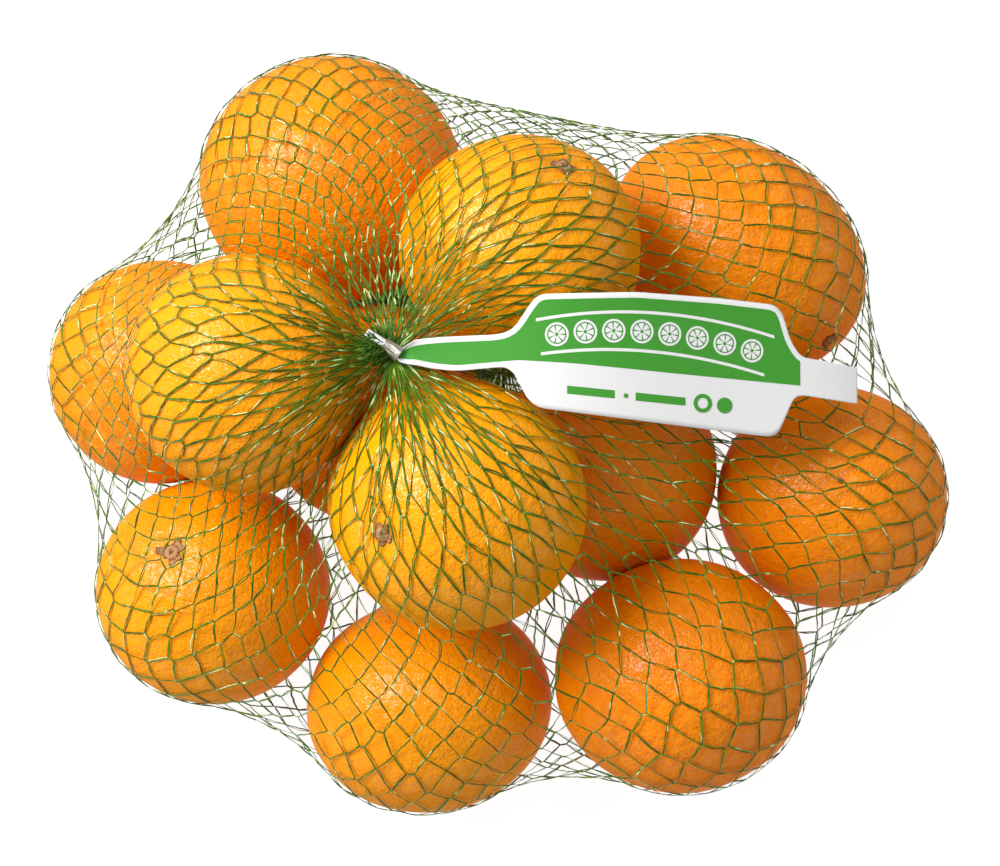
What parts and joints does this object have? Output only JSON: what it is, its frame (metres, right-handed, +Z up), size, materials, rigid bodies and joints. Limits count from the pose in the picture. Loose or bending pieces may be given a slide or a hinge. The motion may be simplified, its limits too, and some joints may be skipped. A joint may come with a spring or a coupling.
{
  "type": "net of oranges",
  "caption": "Whole oranges in a stretched green net, drawn together on top by a crimped metal clip that also holds a printed tag; lies on a table as one bag of fruit.",
  "frame": {"origin": "centre of the bag's footprint box, on the surface it rests on", "axes": "+X along the bag's longest side, towards the tag's free end; +Y square to it in the surface; +Z up, away from the surface it rests on"},
  "size_m": [0.2658, 0.224, 0.1274],
  "materials": {
    "netted_peel": "orange peel, semi-gloss and dimpled, under a thin green plastic net",
    "crimped_metal": "crimped sheet, dull shine",
    "coated_card": "film-coated card, green field on white, printed with plain shapes"
  },
  "bodies": {
    "root": {"net_bag": "netted_peel", "clip": "crimped_metal", "clip_under": "crimped_metal", "label": "coated_card"}
  },
  "joints": []
}
